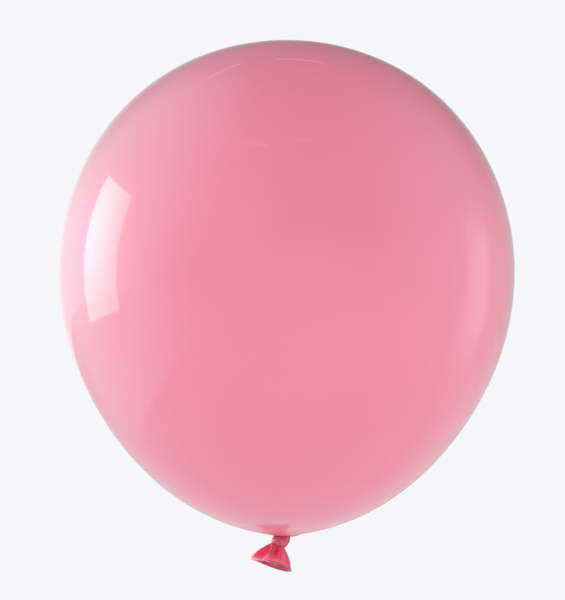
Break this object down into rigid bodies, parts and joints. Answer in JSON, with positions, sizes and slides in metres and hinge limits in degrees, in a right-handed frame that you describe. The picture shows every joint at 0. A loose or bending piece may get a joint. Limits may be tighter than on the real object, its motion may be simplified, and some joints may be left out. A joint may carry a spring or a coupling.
{
  "type": "latex party balloon",
  "caption": "Inflated egg-shaped latex balloon closed by an overhand knot, with a short flared tail and rolled lip hanging below the knot.",
  "frame": {"origin": "the tie, the narrowest place of the gathered neck between the envelope and the knot, on the balloon's axis", "axes": "+Z along the balloon's axis from the tie to the crown, +X to the side that the tail leans away from, -Y to the side that the tail's mouth is tipped towards"},
  "size_m": [0.2784, 0.2784, 0.3264],
  "materials": {
    "film": "thin stretched pink latex, glossy and faintly translucent",
    "knotted": "bunched dusty rose latex, satin",
    "slack": "unstretched saturated pink latex, satin",
    "rolled": "rolled pale pink latex bead, satin"
  },
  "bodies": {
    "balloon": {"envelope": "film", "neck_gather": "knotted"},
    "knot": {"knot_strand": "knotted", "knot_wrap": "knotted"},
    "tail": {"tail_skirt": "slack", "lip_bead": "rolled"}
  },
  "joints": [
    {"name": "knot_swing", "type": "hinge", "parent": "balloon", "child": "knot", "pos_m": [0, 0, 0], "axis": [0, 1, 0], "range_deg": [-30, 5], "stiffness_Nm_per_rad": 0.001},
    {"name": "tail_flap", "type": "hinge", "parent": "knot", "child": "tail", "pos_m": [-0.00275, -0.0008, -0.008], "axis": [0.9542, 0, -0.299], "range_deg": [-70, 70], "stiffness_Nm_per_rad": 0.0005}
  ]
}
